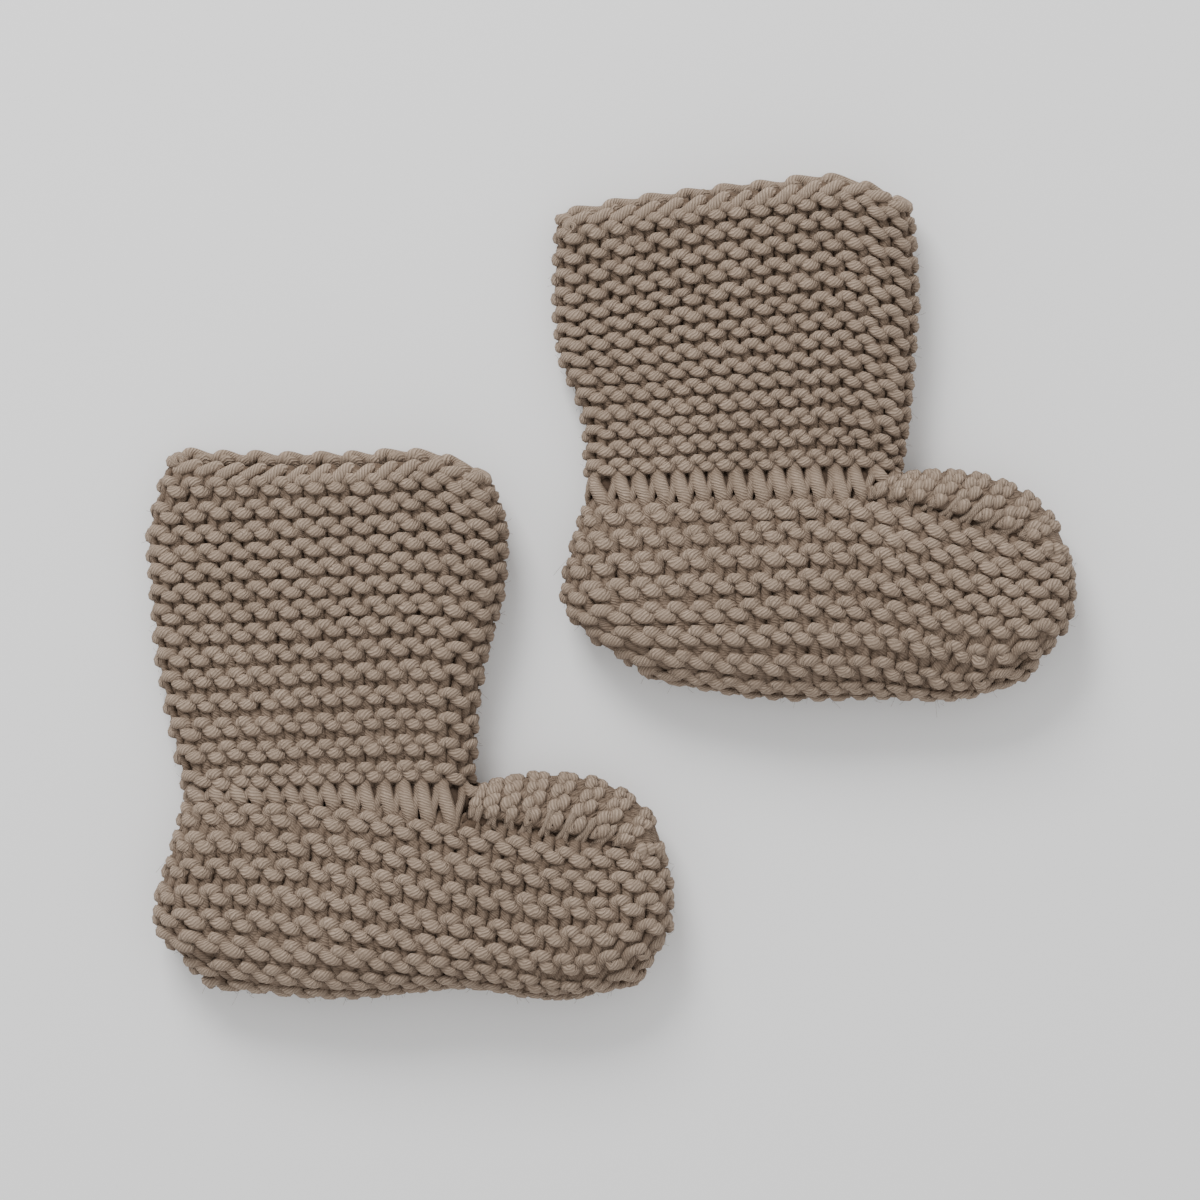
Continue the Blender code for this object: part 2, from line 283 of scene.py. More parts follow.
def garter_rows(rows, stitches, random, stitch):
    """Rows of garter stitch. Along a row the angle goes once round for each stitch: the row's
    height is its number plus (1 - cos) / 2 of a loop's height, made flat at both ends by cos of
    three times the angle and sloped by sin of twice it. Its width is the angle's share with a
    bulge by sin of twice the angle, a skew by its cos and a lean by the height, and its depth
    is cos of the angle, a little early, squared up by cos of three times it, out on even rows
    and in on odd ones. Gives back place along the row in stitches, height in rows, depth and
    the yarn's radius."""
    rows = np.asarray(rows)[:, None]
    count = rows.size
    angle = np.arange(stitches * SAMPLES) / SAMPLES * WHOLE_TURN
    up = (1 - (np.cos(angle) - np.cos(3 * angle) / 9) * 9 / 8) / 2
    up = up + stitch.slope * np.sin(2 * angle)
    place = angle / WHOLE_TURN + stitch.bulge * np.sin(2 * angle)
    place = place + stitch.skew * np.cos(2 * angle) + stitch.lean * up
    place = place + uneven(random, count, stitches, UNEVEN_PLACE)
    height = rows + stitch.height * up
    height = height + uneven(random, count, stitches, UNEVEN_HEIGHT)
    late = angle + stitch.early
    wave = (np.cos(late) + stitch.square * np.cos(3 * late)) / (1 + stitch.square)
    depth = np.where(rows % 2 == 0, 1.0, -1.0) * stitch.depth * wave
    depth = depth + uneven(random, count, stitches, UNEVEN_DEPTH)
    thick = stitch.yarn * (1 + stitch.taper * np.cos(angle))
    thick = thick * (1 + uneven(random, count, stitches, UNEVEN_THICK))
    return place, height, depth, thick


def unit(vectors):
    """Vectors divided by their lengths."""
    return vectors / np.linalg.norm(vectors, axis=-1, keepdims=True)


def outwards(surface, place, ridge, out):
    """The way out of the fabric at each point: from it to the point half a millimetre out."""
    return unit(surface(place, ridge, out + 0.5) - surface(place, ridge, out))


Yarn = namedtuple("Yarn", "points faces map crest")


def sweep(path, outward, thick, flatness, depth, closed, sides=SIDES):
    """Yarn along each path of a set: an ellipse round every point of the path, set square to
    it, whose half width is thick and whose half depth is flatness times that. The map's x is
    the angle round the yarn and its y the length along it in plies. A closed path has a whole
    number of plies, and an open one has closed ends. The share of painted light is how far a
    point lies from the fabric's middle, from 0 in full painted shade to 1 in full light."""
    rows, samples, _ = path.shape
    if closed:
        along = np.roll(path, -1, axis=1) - np.roll(path, 1, axis=1)
        steps = np.linalg.norm(np.roll(path, -1, axis=1) - path, axis=-1)
    else:
        along = np.gradient(path, axis=1)
        steps = np.linalg.norm(np.diff(path, axis=1), axis=-1)
    along = unit(along)
    across_yarn = unit(np.cross(along, outward))
    deep = np.cross(across_yarn, along)
    angle = np.arange(sides) / sides * WHOLE_TURN
    wide_part = (thick[..., None] * np.cos(angle))[..., None] * across_yarn[:, :, None]
    deep_part = (thick[..., None] * flatness * np.sin(angle))[..., None] * deep[:, :, None]
    points = path[:, :, None] + wide_part + deep_part

    length = np.concatenate([np.zeros((rows, 1)), np.cumsum(steps, axis=1)], axis=1) / PLY_LENGTH
    if closed:
        length = length / length[:, -1:] * np.round(length[:, -1:])
    index = np.arange(rows * samples * sides).reshape(rows, samples, sides)
    ahead = np.roll(index, -1, axis=1)
    if not closed:
        index, ahead = index[:, :-1], ahead[:, :-1]
    corners = [index, ahead, np.roll(ahead, -1, axis=2), np.roll(index, -1, axis=2)]
    faces = np.stack(corners, axis=-1).reshape(-1, 4)
    start = np.broadcast_to(length[:, :-1, None], index.shape)
    end = np.broadcast_to(length[:, 1:, None], index.shape)
    left = np.broadcast_to(np.arange(sides) / sides, index.shape)
    right = left + 1 / sides
    maps = np.stack([left, start, left, end, right, end, right, start], axis=-1)
    maps = maps.reshape(-1, 2)
    if not closed:
        corner = np.arange(1, sides - 2, 2)
        cap = np.stack([corner * 0, corner, corner + 1, corner + 2], axis=-1)
        first = (np.arange(rows) * samples * sides)[:, None, None]
        caps = np.concatenate([cap + first, cap[:, ::-1] + first + (samples - 1) * sides])
        faces = np.concatenate([faces, caps.reshape(-1, 4)])
        maps = np.concatenate([maps, np.zeros((caps.size, 2))])
    # Painted shade: yarn deep in the fabric's middle takes the shade colour, yarn on its faces
    # the lit one.
    depths = np.abs(depth[..., None] + thick[..., None] * flatness * np.sin(angle))
    crest = np.clip((depths - SHADE_DEPTH) / (LIGHT_DEPTH - SHADE_DEPTH), 0, 1)
    return Yarn(points.reshape(-1, 3), faces, maps, crest.reshape(-1))


def as_mesh(name, parts):
    """One mesh of several lots of yarn, given in millimetres, with its map and its share of
    painted light, a number that is 1 on the fabric's faces and 0 in its middle, where the
    yarn's colour is painted shade. Where the yarn lies on the floor it is pressed flat."""
    points = np.concatenate([part.points for part in parts]) * MM
    points[:, 2] = np.maximum(points[:, 2], 0.0)
    counts = np.cumsum([0] + [len(part.points) for part in parts])
    faces = np.concatenate([part.faces + first for part, first in zip(parts, counts)])
    mesh = bpy.data.meshes.new(name)
    mesh.vertices.add(len(points))
    mesh.vertices.foreach_set("co", points.astype(np.float32).ravel())
    mesh.loops.add(faces.size)
    mesh.loops.foreach_set("vertex_index", faces.astype(np.int32).ravel())
    mesh.polygons.add(len(faces))
    mesh.polygons.foreach_set("loop_start", np.arange(0, faces.size, 4, dtype=np.int32))
    mesh.polygons.foreach_set("use_smooth", np.ones(len(faces), bool))
    mesh.update(calc_edges=True)
    yarn_map = mesh.uv_layers.new(name="yarn")
    maps = np.concatenate([part.map for part in parts])
    yarn_map.uv.foreach_set("vector", maps.astype(np.float32).ravel())
    # The share of painted light, by which the wool paints shade into the fabric's middle.
    crest = mesh.attributes.new("crest", "FLOAT", "POINT")
    values = np.concatenate([part.crest for part in parts])
    crest.data.foreach_set("value", values.astype(np.float32))
    piece = bpy.data.objects.new(name, mesh)
    bpy.context.scene.collection.objects.link(piece)
    return piece


def ring_yarn(surface, lay, stitches, stitch, ridge_of):
    """Closed rows of stitches laid on a ring surface, where ridge_of turns a height in rows
    into the surface's own ridge."""
    place, height, depth, thick = lay
    place = 2 * place / stitches
    ridge = ridge_of(height)
    path = surface(place, ridge, depth)
    outward = outwards(surface, place, ridge, depth)
    return sweep(path, outward, thick, stitch.flatness, depth, closed=True)


def edge_chain(surface, near, far, random):
    """The cast-on edge: one length of yarn wound round the edge, near times on the near side
    and far times on the far side. Its height is a sine and its depth a cosine of the angle,
    and both swing most where steep is 1, in the middle of the near side."""
    links = near + far
    link = np.arange(links * SAMPLES)[None] / SAMPLES
    angle = link * WHOLE_TURN
    place = np.interp(link, [0, near, links], [0, 1, 2])
    steep = 0.5 + 0.5 * np.cos(np.clip(np.abs(place - 0.5) * 2, 0, 1) * HALF_TURN)
    jitter = uneven(random, 1, links, 0.03)
    place = place + 0.16 * np.sin(angle) / near + jitter / near
    height = CHAIN_RIDGE + 0.2 - 0.4 * steep + (0.12 + 0.18 * steep) * np.sin(angle) + jitter
    depth = -0.3 + (0.75 + 0.3 * steep) * np.cos(angle)
    thick = CHAIN_YARN * (1 + uneven(random, 1, links, 0.05))
    path = surface(place, height, depth)
    outward = outwards(surface, place, height, depth)
    free = np.full_like(depth, FREE_DEPTH)
    return sweep(path, outward, thick, CHAIN_FLATNESS, free, closed=True)


def coil(centre, random):
    """The yarn's end, worked in at the mouth's back corner: a spiral whose radius grows evenly
    with the angle, and which sinks by the square of that and thins towards its end."""
    share = np.linspace(0, 1, COIL_POINTS)[None]
    angle = share * COIL_TURNS * WHOLE_TURN + random.uniform(0, WHOLE_TURN)
    radius = COIL_START + COIL_GROWTH * share
    sunk = -COIL_SINKING * share**2
    path = np.stack([radius * np.cos(angle), radius * np.sin(angle), sunk], axis=-1)
    up = np.zeros_like(path) + (0.0, 0.0, 1.0)
    thick = 0.85 - 0.3 * share**4
    free = np.full_like(share, FREE_DEPTH)
    return sweep(path + centre, up, thick, 1.0, free, False, sides=OPEN_SIDES)


def stray_hairs(name, surface, ridges, count):
    """Loose hairs of the wool: short fine threads that leave the fabric's face anywhere, each
    a curve of its length times a random way plus a random bend by the share squared."""
    random = np.random.default_rng(count)
    place = random.uniform(0, 2, (count, 1))
    ridge = random.uniform(*ridges, (count, 1))
    out = random.uniform(*HAIR_DEPTHS, (count, 1))
    outward = outwards(surface, place, ridge, out)
    way = unit(random.normal(size=(count, 1, 3)) + 0.4 * outward)
    bend = random.normal(size=(count, 1, 3)) * 0.7
    share = np.linspace(0, 1, HAIR_POINTS)[None, :, None]
    length = random.uniform(*HAIR_LENGTHS, (count, 1, 1))
    path = surface(place, ridge, out) + length * (way * share + bend * share**2)
    path[..., 2] = np.maximum(path[..., 2], 0.1)
    thick = np.full((count, HAIR_POINTS), HAIR_RADIUS)
    aside = unit(random.normal(size=(count, 1, 3)))
    free = np.full_like(thick, FREE_DEPTH)
    hairs = sweep(path, aside, thick, 1.0, free, False, sides=4)
    return as_mesh(name, [hairs])


def backing(name, surface, places, ridges, wave, closed, seamed=False):
    """The fabric's middle: a thin closed shell, dark with painted shade, seen only in the gaps
    between ridges. It waves out under each ridge and in under each gap, by a cosine of the
    ridge less the wave's start. Its two skins lie half its thickness out and in of the waved
    surface, and its open edges are closed. In a seamed one the near and the far side share the
    points of the last ring, where place p meets place 2 - p."""
    place, ridge = np.meshgrid(places, ridges)
    waved = CORE_WAVE * np.cos(WHOLE_TURN * (ridge - wave)) + CORE_DEPTH
    skins = [surface(place, ridge, waved + way * CORE_HALF_THICK) for way in (1, -1)]
    rows, columns = place.shape
    outer = np.arange(rows * columns).reshape(rows, columns)
    if seamed:
        column = np.arange(columns)
        outer[-1] = outer[-1, np.minimum(column, (columns - column) % columns)]
    inner = outer + rows * columns

    def cells(grid):
        following = np.roll(grid, -1, axis=1)
        quads = np.stack([grid[:-1], following[:-1], following[1:], grid[1:]], axis=-1)
        return quads if closed else quads[:, :-1]

    def band(first, second):
        quads = np.stack([first, np.roll(first, -1), np.roll(second, -1), second], axis=-1)
        return quads if closed else quads[:-1]

    faces = [cells(outer).reshape(-1, 4), cells(inner)[..., ::-1].reshape(-1, 4)]
    faces.append(band(inner[0], outer[0]))
    if not seamed:
        faces.append(band(outer[-1], inner[-1]))
    if not closed:
        for edge, turned in ((0, 1), (-1, -1)):
            lines = (outer[:, edge], inner[:, edge])[::turned]
            quads = np.stack([lines[0][:-1], lines[0][1:], lines[1][1:], lines[1][:-1]], axis=-1)
            faces.append(quads)
    points = np.concatenate([skin.reshape(-1, 3) for skin in skins]) * MM
    kept, faces = np.unique(np.concatenate(faces), return_inverse=True)
    mesh = bpy.data.meshes.new(name)
    mesh.from_pydata(points[kept].tolist(), [], faces.reshape(-1, 4).tolist())
    mesh.shade_smooth()
    piece = bpy.data.objects.new(name, mesh)
    bpy.context.scene.collection.objects.link(piece)
    return piece


class Shade:
    """A shader socket that takes part in arithmetic: an expression adds its Math nodes."""

    def __init__(self, tree, socket=None):
        self.tree = tree
        self.socket = socket

    def node(self, kind, settings=None, inputs=None, output=0):
        """Adds a node of this kind, sets its settings, then its inputs to values or links."""
        added = self.tree.nodes.new("ShaderNode" + kind)
        for name, value in (settings or {}).items():
            setattr(added, name, value)
        for key, value in (inputs or {}).items():
            if isinstance(value, Shade):
                self.tree.links.new(value.socket, added.inputs[key])
            else:
                added.inputs[key].default_value = value
        return Shade(self.tree, added.outputs[output])

    def out(self, name):
        """Another output of this socket's node."""
        return Shade(self.tree, self.socket.node.outputs[name])

    def math(self, operation, *parts):
        """A Math node of this operation on these parts."""
        return self.node("Math", {"operation": operation}, dict(enumerate(parts)))

    def __add__(self, other):
        return self.math("ADD", self, other)

    def __sub__(self, other):
        return self.math("SUBTRACT", self, other)

    def __mul__(self, other):
        return self.math("MULTIPLY", self, other)


def srgb(*levels):
    """A colour given as it is seen, 0 to 255, as the linear one that a shader takes."""
    share = np.array(levels) / 255
    return tuple(np.where(share <= 0.04045, share / 12.92, ((share + 0.055) / 1.055) ** 2.4))


def wool(name, light, dark, painted_deep_shade):
    """Matte plied wool. The plies are the squared sine of eight times the angle round the yarn
    less its length, with a painted highlight on their crowns and painted shade between them,
    and clearer in some places than in others; finer hairs are noise stretched along them. The
    deep shade colour is painted shade that takes over deep in the fabric, and the whole is
    slightly mottled."""
    material = bpy.data.materials.new(name)
    material.use_nodes = True
    tree = material.node_tree
    shade = Shade(tree)
    where = shade.node("TexCoord", output="Object")
    parts = shade.node("SeparateXYZ", inputs={0: shade.node("UVMap", {"uv_map": "yarn"})})
    angle, length = parts.out("X"), parts.out("Y")

    def noise(vector, scale, detail):
        return shade.node("TexNoise", inputs={"Vector": vector, "Scale": scale, "Detail": detail})

    wander = noise(where, 600, 3)
    ply = angle * PLIES - length + wander * 1.1
    wave = shade.math("SINE", ply * HALF_TURN)
    crown = wave * wave
    hair_place = shade.node("CombineXYZ", inputs={0: ply * 4, 1: length * 0.4})
    hairs = noise(hair_place, 1.6, 3)
    fuzz = noise(where, 2600, 3)
    mottle = noise(where, 55, 2)
    clear = crown * noise(where, 420, 2)
    crest = shade.node("Attribute", {"attribute_name": "crest"}, output="Fac")

    relief = clear * 1.6 + hairs * 0.9 + fuzz * 0.7
    bump = shade.node("Bump", inputs={"Strength": 1.0, "Distance": 0.0002, "Height": relief})

    def mix(share, first, second, blend="MIX"):
        settings = {"data_type": "RGBA", "blend_type": blend}
        return shade.node("Mix", settings, {"Factor": share, 6: first, 7: second}, output=2)

    # Painted highlight on the ply crowns and painted shade between them, mixed with the hairs'
    # random tone.
    ply_shade_and_fibre_tone = clear * 0.9 + hairs * 0.6 + fuzz * 0.1
    colour = mix(ply_shade_and_fibre_tone, (*srgb(*dark), 1), (*srgb(*light), 1))
    # Painted shade: deep in the fabric the yarn takes the dark shade colour.
    colour = mix(crest, (*srgb(*painted_deep_shade), 1), colour)
    tint = mix(mottle, (0.86, 0.85, 0.84, 1), (1.12, 1.12, 1.12, 1))
    colour = mix(1.0, colour, tint, "MULTIPLY")

    surface = tree.nodes["Principled BSDF"]
    tree.links.new(colour.socket, surface.inputs["Base Color"])
    tree.links.new(bump.socket, surface.inputs["Normal"])
    surface.inputs["Roughness"].default_value = 0.92
    surface.inputs["Specular IOR Level"].default_value = 0.2
    surface.inputs["Sheen Weight"].default_value = 0.12
    surface.inputs["Sheen Roughness"].default_value = 0.5
    surface.inputs["Sheen Tint"].default_value = (*srgb(190, 172, 156), 1)
    return material


def painted_shade_material(name, colour):
    """Painted shade for the fabric's middle: a dark matte colour that stands for the shade deep
    in the gaps, with a fine noise of hairs in colour and bump.
    """
    material = bpy.data.materials.new(name)
    material.use_nodes = True
    tree = material.node_tree
    shade = Shade(tree)
    where = shade.node("TexCoord", output="Object")
    hairs = shade.node("TexNoise", inputs={"Vector": where, "Scale": 1400, "Detail": 4})
    # The colour given is painted shade; the noise varies it darker and lighter.
    low = (*srgb(*[level * 0.75 for level in colour]), 1)
    high = (*srgb(*[level * 1.2 for level in colour]), 1)
    inputs = {"Factor": hairs, 6: low, 7: high}
    mixed_colour = shade.node("Mix", {"data_type": "RGBA"}, inputs, output=2)
    bump = shade.node("Bump", inputs={"Strength": 0.8, "Distance": 0.0002, "Height": hairs})
    surface = tree.nodes["Principled BSDF"]
    tree.links.new(mixed_colour.socket, surface.inputs["Base Color"])
    tree.links.new(bump.socket, surface.inputs["Normal"])
    surface.inputs["Roughness"].default_value = 0.95
    surface.inputs["Specular IOR Level"].default_value = 0.1
    return material


# The wool's light and dark are a painted highlight on the ply crowns and painted shade between
# them, and its third colour is painted shade deep in the fabric; the felt's one colour is painted
# shade in the fabric's middle.
taupe_wool = wool("taupe_wool", (184, 164, 146), (104, 88, 74), (97, 80, 66))
inner_wool = painted_shade_material("inner_wool", (72, 59, 49))


def fit(piece, material, node):
    """Gives a piece its wool, and puts it in the place of its solid."""
    piece.data.materials.append(material)
    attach(piece, BODY)
    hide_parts(node)


def leg_ridge(height):
    """The leg's ridge at a height in rows: two rows make a ridge."""
    return LEG_ROW_START + height / 2


for leg in LEGS:
    random = np.random.default_rng(len(leg.name))
    surface = leg_surface(leg)
    stitch = GARTER._replace(yarn=leg.yarn)
    rows = garter_rows(range(-1, LEG_ROWS), leg.stitches, random, stitch)
    yarn = as_mesh(
        leg.name + "_leg_yarn",
        [
            ring_yarn(surface, rows, leg.stitches, stitch, leg_ridge),
            edge_chain(surface, leg.stitches // 2, leg.stitches // 3, random),
            coil(leg.end, random),
        ],
    )
    fit(yarn, taupe_wool, leg.name + "_leg")
    core = backing(
        leg.name + "_leg_core",
        surface,
        np.linspace(0, 2, 80, endpoint=False),
        np.linspace(0.0, 13.6, 109),
        wave=0.25,
        closed=True,
    )
    fit(core, inner_wool, leg.name + "_leg")
    hairs = stray_hairs(leg.name + "_leg_hairs", surface, (0, LEG_RIDGES), LEG_HAIRS)
    fit(hairs, taupe_wool, leg.name + "_leg")

# ---------------------------------------------------------------------------
# Feet
# Each foot is knitted in garter stitch round from the ankle down, eight ridges deep, with
# fewer stitches at heel and toe towards the sole, where its two sides are sewn together.
# It lies on its side, so the sole turns under.
# ---------------------------------------------------------------------------

FOOT_RIDGES = 8.0
FOOT_FOLDS = (0.08, 0.10)
FOOT_STITCH_WIDTH = 5.1
FOOT_STITCH = GARTER._replace(height=1.74, yarn=1.44, slope=-0.05)
FOOT_ROW_START = 7.66

# The ridges at which the sole starts to turn and the seam's angles in degrees, at the
# stations from heel to toe. flap_starts is a share of the rim's length, and instep holds the
# first three corners of the flap's outline.
Sole = namedtuple("Sole", "turn_starts seam_angles")
Foot = namedtuple("Foot", "name ankle rings outline sole flap_starts instep flat")

FEET = (
    Foot(
        "right",
        (62.4, 26.0),
        (
            Ring(0.0, -66.5, 33.0, -7.5, -7.0, -7.3, -14.0, -17.5, 3.8, 6.4, 5.6, 4.0, 7.0),
            Ring(2.0, -70.0, 34.5, -18.5, -16.5, -16.5, -23.2, -23.8, 5.0, 7.4, 6.4, 5.5, 8.0),
            Ring(4.0, -71.0, 33.5, -29.0, -27.5, -27.0, -31.5, -32.0, 6.0, 7.8, 6.8, 7.0, 8.5),
            Ring(5.5, -65.5, 31.0, -35.5, -35.5, -35.5, -38.5, -36.5, 6.2, 7.8, 6.8, 7.5, 8.5),
        ),
        Ring(8.0, -53.5, 24.5, -43.0, -47.1, -47.1, -47.1, -43.5, 6.2, 7.8, 6.8, 7.5, 8.5),
        Sole((5.5, 5.5, 5.4, 4.8, 4.8), (70, 72, 78, 95, 95)),
        0.55,
        ((-2.0, -2.5), (11.0, -0.5), (30.0, -2.0)),
        (0.216, 0.043),
    ),
    Foot(
        "left",
        (-27.9, -39.5),
        (
            Ring(0.0, -61.5, 37.5, -5.0, -5.7, -9.8, -14.4, -15.0, 3.8, 6.4, 5.6, 4.0, 7.0),
            Ring(2.0, -64.5, 39.5, -16.5, -17.0, -21.5, -24.5, -24.0, 5.0, 7.4, 6.4, 5.5, 8.0),
            Ring(4.0, -67.5, 39.0, -27.0, -28.0, -33.5, -35.5, -33.0, 6.0, 7.8, 6.8, 7.0, 8.5),
            Ring(5.5, -67.0, 37.5, -33.5, -36.5, -38.5, -39.5, -37.0, 6.2, 7.8, 6.8, 7.5, 8.5),
        ),
        Ring(8.0, -56.5, 32.5, -43.2, -45.2, -43.0, -45.2, -42.3, 6.2, 7.8, 6.8, 7.5, 8.5),
        Sole((5.3, 5.2, 4.5, 3.8, 3.8), (85, 90, 115, 142, 135)),
        0.58,
        ((0.8, -3.2), (11.0, 1.6), (36.0, 0.8)),
        (0.216, 0.042),
    ),
)


def foot_surface(foot):
    """A foot as a function of the place round it and the ridge down it. Below the ridge where
    the sole turns, the rings go round a quarter ellipse to the sole's outline and past it to
    the seam, whose angle round that ellipse is 90 degrees on the outermost line and at both
    folds; the far side makes up the rest of the half turn."""

    def surface(place, ridge, out):
        turn, side = sides_of(place)
        starts = smooth(STATIONS, foot.sole.turn_starts, turn)
        seam = np.radians(smooth(STATIONS, foot.sole.seam_angles, turn))
        seam = QUARTER_TURN + (seam - QUARTER_TURN) * edge_rise(turn, FOOT_FOLDS)
        done = np.clip((ridge - starts) / (FOOT_RIDGES - starts), 0, 1)
        angle = np.where(side > 0, seam * done, HALF_TURN - (HALF_TURN - seam) * done)
        turned = np.sin(angle)
        upper = sizes_of(foot.rings, np.minimum(ridge, starts))
        sizes = Ring(*[a + (b - a) * turned for a, b in zip(upper, foot.outline)])
        x, y, half, rise = on_ring(foot, sizes, turn, FOOT_FOLDS, out)
        z = GARTER_WALL / 2 + half + (half + out) * rise * np.cos(angle)
        return np.stack([x, y - out * turned, z], axis=-1)

    return surface


def round_about(surface, ridge):
    """The length round a ring surface at a ridge, in millimetres."""
    place = np.linspace(0, 2, 201)
    points = surface(place, np.full_like(place, ridge), np.zeros_like(place))
    return np.linalg.norm(np.diff(points, axis=0), axis=-1).sum()


def foot_ridge(height):
    """The foot's ridge at a height in rows, which runs from the sole up to the rim."""
    return FOOT_ROW_START - height / 2


for foot in FEET:
    random = np.random.default_rng(10 + len(foot.name))
    surface = foot_surface(foot)
    parts = []
    for first in range(-1, 14, 2):
        length = round_about(surface, foot_ridge(first + 1))
        stitches = 2 * int(round(length / FOOT_STITCH_WIDTH / 2))
        rows = garter_rows((first, first + 1), stitches, random, FOOT_STITCH)
        parts.append(ring_yarn(surface, rows, stitches, FOOT_STITCH, foot_ridge))
    yarn = as_mesh(foot.name + "_foot_yarn", parts)
    fit(yarn, taupe_wool, foot.name + "_foot")
    core = backing(
        foot.name + "_foot_core",
        surface,
        np.linspace(0, 2, 96, endpoint=False),
        np.linspace(0.2, 8.0, 63),
        wave=0.5,
        closed=True,
        seamed=True,
    )
    fit(core, inner_wool, foot.name + "_foot")
    hairs = stray_hairs(foot.name + "_foot_hairs", surface, (0, FOOT_RIDGES), FOOT_HAIRS)
    fit(hairs, taupe_wool, foot.name + "_foot")

# ---------------------------------------------------------------------------
# Instep flaps
# A strip of garter stitch knitted on from the middle of the ankle band towards the toe, its
# ridges across the foot. It folds over the top of the foot, one length of yarn to and fro.
# ---------------------------------------------------------------------------

INSTEP_STITCHES = 8
INSTEP_ROWS = 16
INSTEP_STITCH = GARTER._replace(height=1.66)
# The flap's yarn and its middle stand this far off the foot's rim, where the foot's
# stitches were picked up. The way along its outline is a power of the way along the rim.
INSTEP_INSET = 2.9
INSTEP_CORE_INSET = 0.35
INSTEP_POWER = 1.35
# The foot's picked-up stitches: where they start and end along the flap, how many, radius.
PICKED_UP = (0.03, 0.98, 9)
PICKED_UP_YARN = 0.72


def flap_corner(foot):
    """Where on the foot's rim the ankle band ends and the instep flap starts, as a turn."""
    rim = foot.rings[0]
    width = rim.front_x - rim.back_x
    flat = (foot.flap_starts * width - rim.back_fold) / (width - rim.back_fold - rim.front_fold)
    return FOOT_FOLDS[0] + (1 - FOOT_FOLDS[0] - FOOT_FOLDS[1]) * flat


def instep_surface(foot, inset):
    """A flap as a function of the way round it, from 0 on the near rim over the top of the
    foot to 1 on the far rim, and the way along it from ankle to toe. Each row is half an
    ellipse that stands on the foot's rim and reaches the flap's outline, a cubic curve."""
    rim_surface = foot_surface(foot)
    corner = flap_corner(foot)
    rim = foot.rings[0]
    p0, p1, p2 = foot.instep
    p3 = (rim.front_x, rim.y_front)

    def surface(around, way, out):
        turn = corner + (1 - FOOT_FOLDS[1] - corner) * np.clip(way, 0, 1)
        base = rim_surface(turn, np.zeros_like(turn), np.zeros_like(turn))
        along = np.clip(way, 0, 1) ** INSTEP_POWER
        rest = 1 - along
        line = []
        for start, a, b, c, d in zip(foot.ankle, p0, p1, p2, p3):
            curve = a * rest**3 + 3 * b * rest**2 * along + 3 * c * rest * along**2 + d * along**3
            line.append(start + curve)
        reach_x = line[0] - base[..., 0]
        reach_y = line[1] - base[..., 1]
        reach = np.hypot(reach_x, reach_y)
        half = (base[..., 2] - GARTER_WALL / 2) / 2
        angle = HALF_TURN * around
        deep = inset + (reach + out - inset) * np.sin(angle)
        x = base[..., 0] + reach_x / reach * deep
        y = base[..., 1] + reach_y / reach * deep
        z = GARTER_WALL / 2 + half + (half + out) * np.cos(angle)
        return np.stack([x, y, z], axis=-1)

    return surface


def picked_up(surface, near, random):
    """The foot's stitches where they come up out of the flap's side: one length of yarn along
    the side in narrow loops, whose height goes from the rim by (1 - cos) / 2 of the angle and
    whose depth is minus its cos, in at the rim and out at the flap's ridges."""
    first, last, stitches = PICKED_UP
    angle = np.arange(stitches * SAMPLES + 1)[None] / SAMPLES * WHOLE_TURN
    place = angle / WHOLE_TURN + 0.18 * np.sin(angle) + 0.05 * np.sin(2 * angle)
    up = (1 - np.cos(angle)) / 2
    around = 0.15 * up
    way = first + (last - first) * place / stitches
    depth = 0.6 - 1.2 * np.cos(angle)
    thick = PICKED_UP_YARN + uneven(random, 1, stitches, 0.05)
    thick = np.append(thick, thick[:, :1], axis=1)
    around = around if near else 1 - around
    path = surface(around, way, depth)
    outward = outwards(surface, around, way, depth)
    return sweep(path, outward, thick, 0.9, depth + 1.0, False, sides=OPEN_SIDES)


def to_and_fro(rows):
    """One path out of rows: every second row is turned about, and they follow one another."""
    turned = []
    for values in rows:
        values = values.copy()
        values[1::2] = values[1::2, ::-1]
        turned.append(values.reshape(1, -1))
    return turned


for foot in FEET:
    random = np.random.default_rng(20 + len(foot.name))
    surface = instep_surface(foot, INSTEP_INSET)
    rows = garter_rows(range(INSTEP_ROWS), INSTEP_STITCHES, random, INSTEP_STITCH)
    place, height, depth, thick = to_and_fro(rows)
    around = 1 - place / INSTEP_STITCHES
    way = (height + 0.3) / (INSTEP_ROWS + 0.5)
    path = surface(around, way, depth)
    outward = outwards(surface, around, way, depth)
    flatness = INSTEP_STITCH.flatness
    parts = [sweep(path, outward, thick, flatness, depth, False, sides=OPEN_SIDES)]
    side = instep_surface(foot, 0.0)
    parts += [picked_up(side, near, random) for near in (True, False)]
    yarn = as_mesh(foot.name + "_instep_yarn", parts)
    fit(yarn, taupe_wool, foot.name + "_instep")
    core = backing(
        foot.name + "_instep_core",
        instep_surface(foot, INSTEP_CORE_INSET),
        np.linspace(1, 0, 33),
        np.linspace(0.01, 0.985, 40),
        wave=0.0,
        closed=False,
    )
    fit(core, inner_wool, foot.name + "_instep")

# ---------------------------------------------------------------------------
# Ankle bands
# Plain knitting between leg and foot, whose stitches show as upright legs. It is laid as one
# tall row, because the rows next to it hide the rest.
# ---------------------------------------------------------------------------

BAND_YARN = 1.5
BAND_DEPTH = 0.8
BAND_LOOP_HEIGHT = 1.9
# The way down the band at the row's foot, and how much of it a height of one row takes.
BAND_START = 1.35
BAND_ROW = 0.75


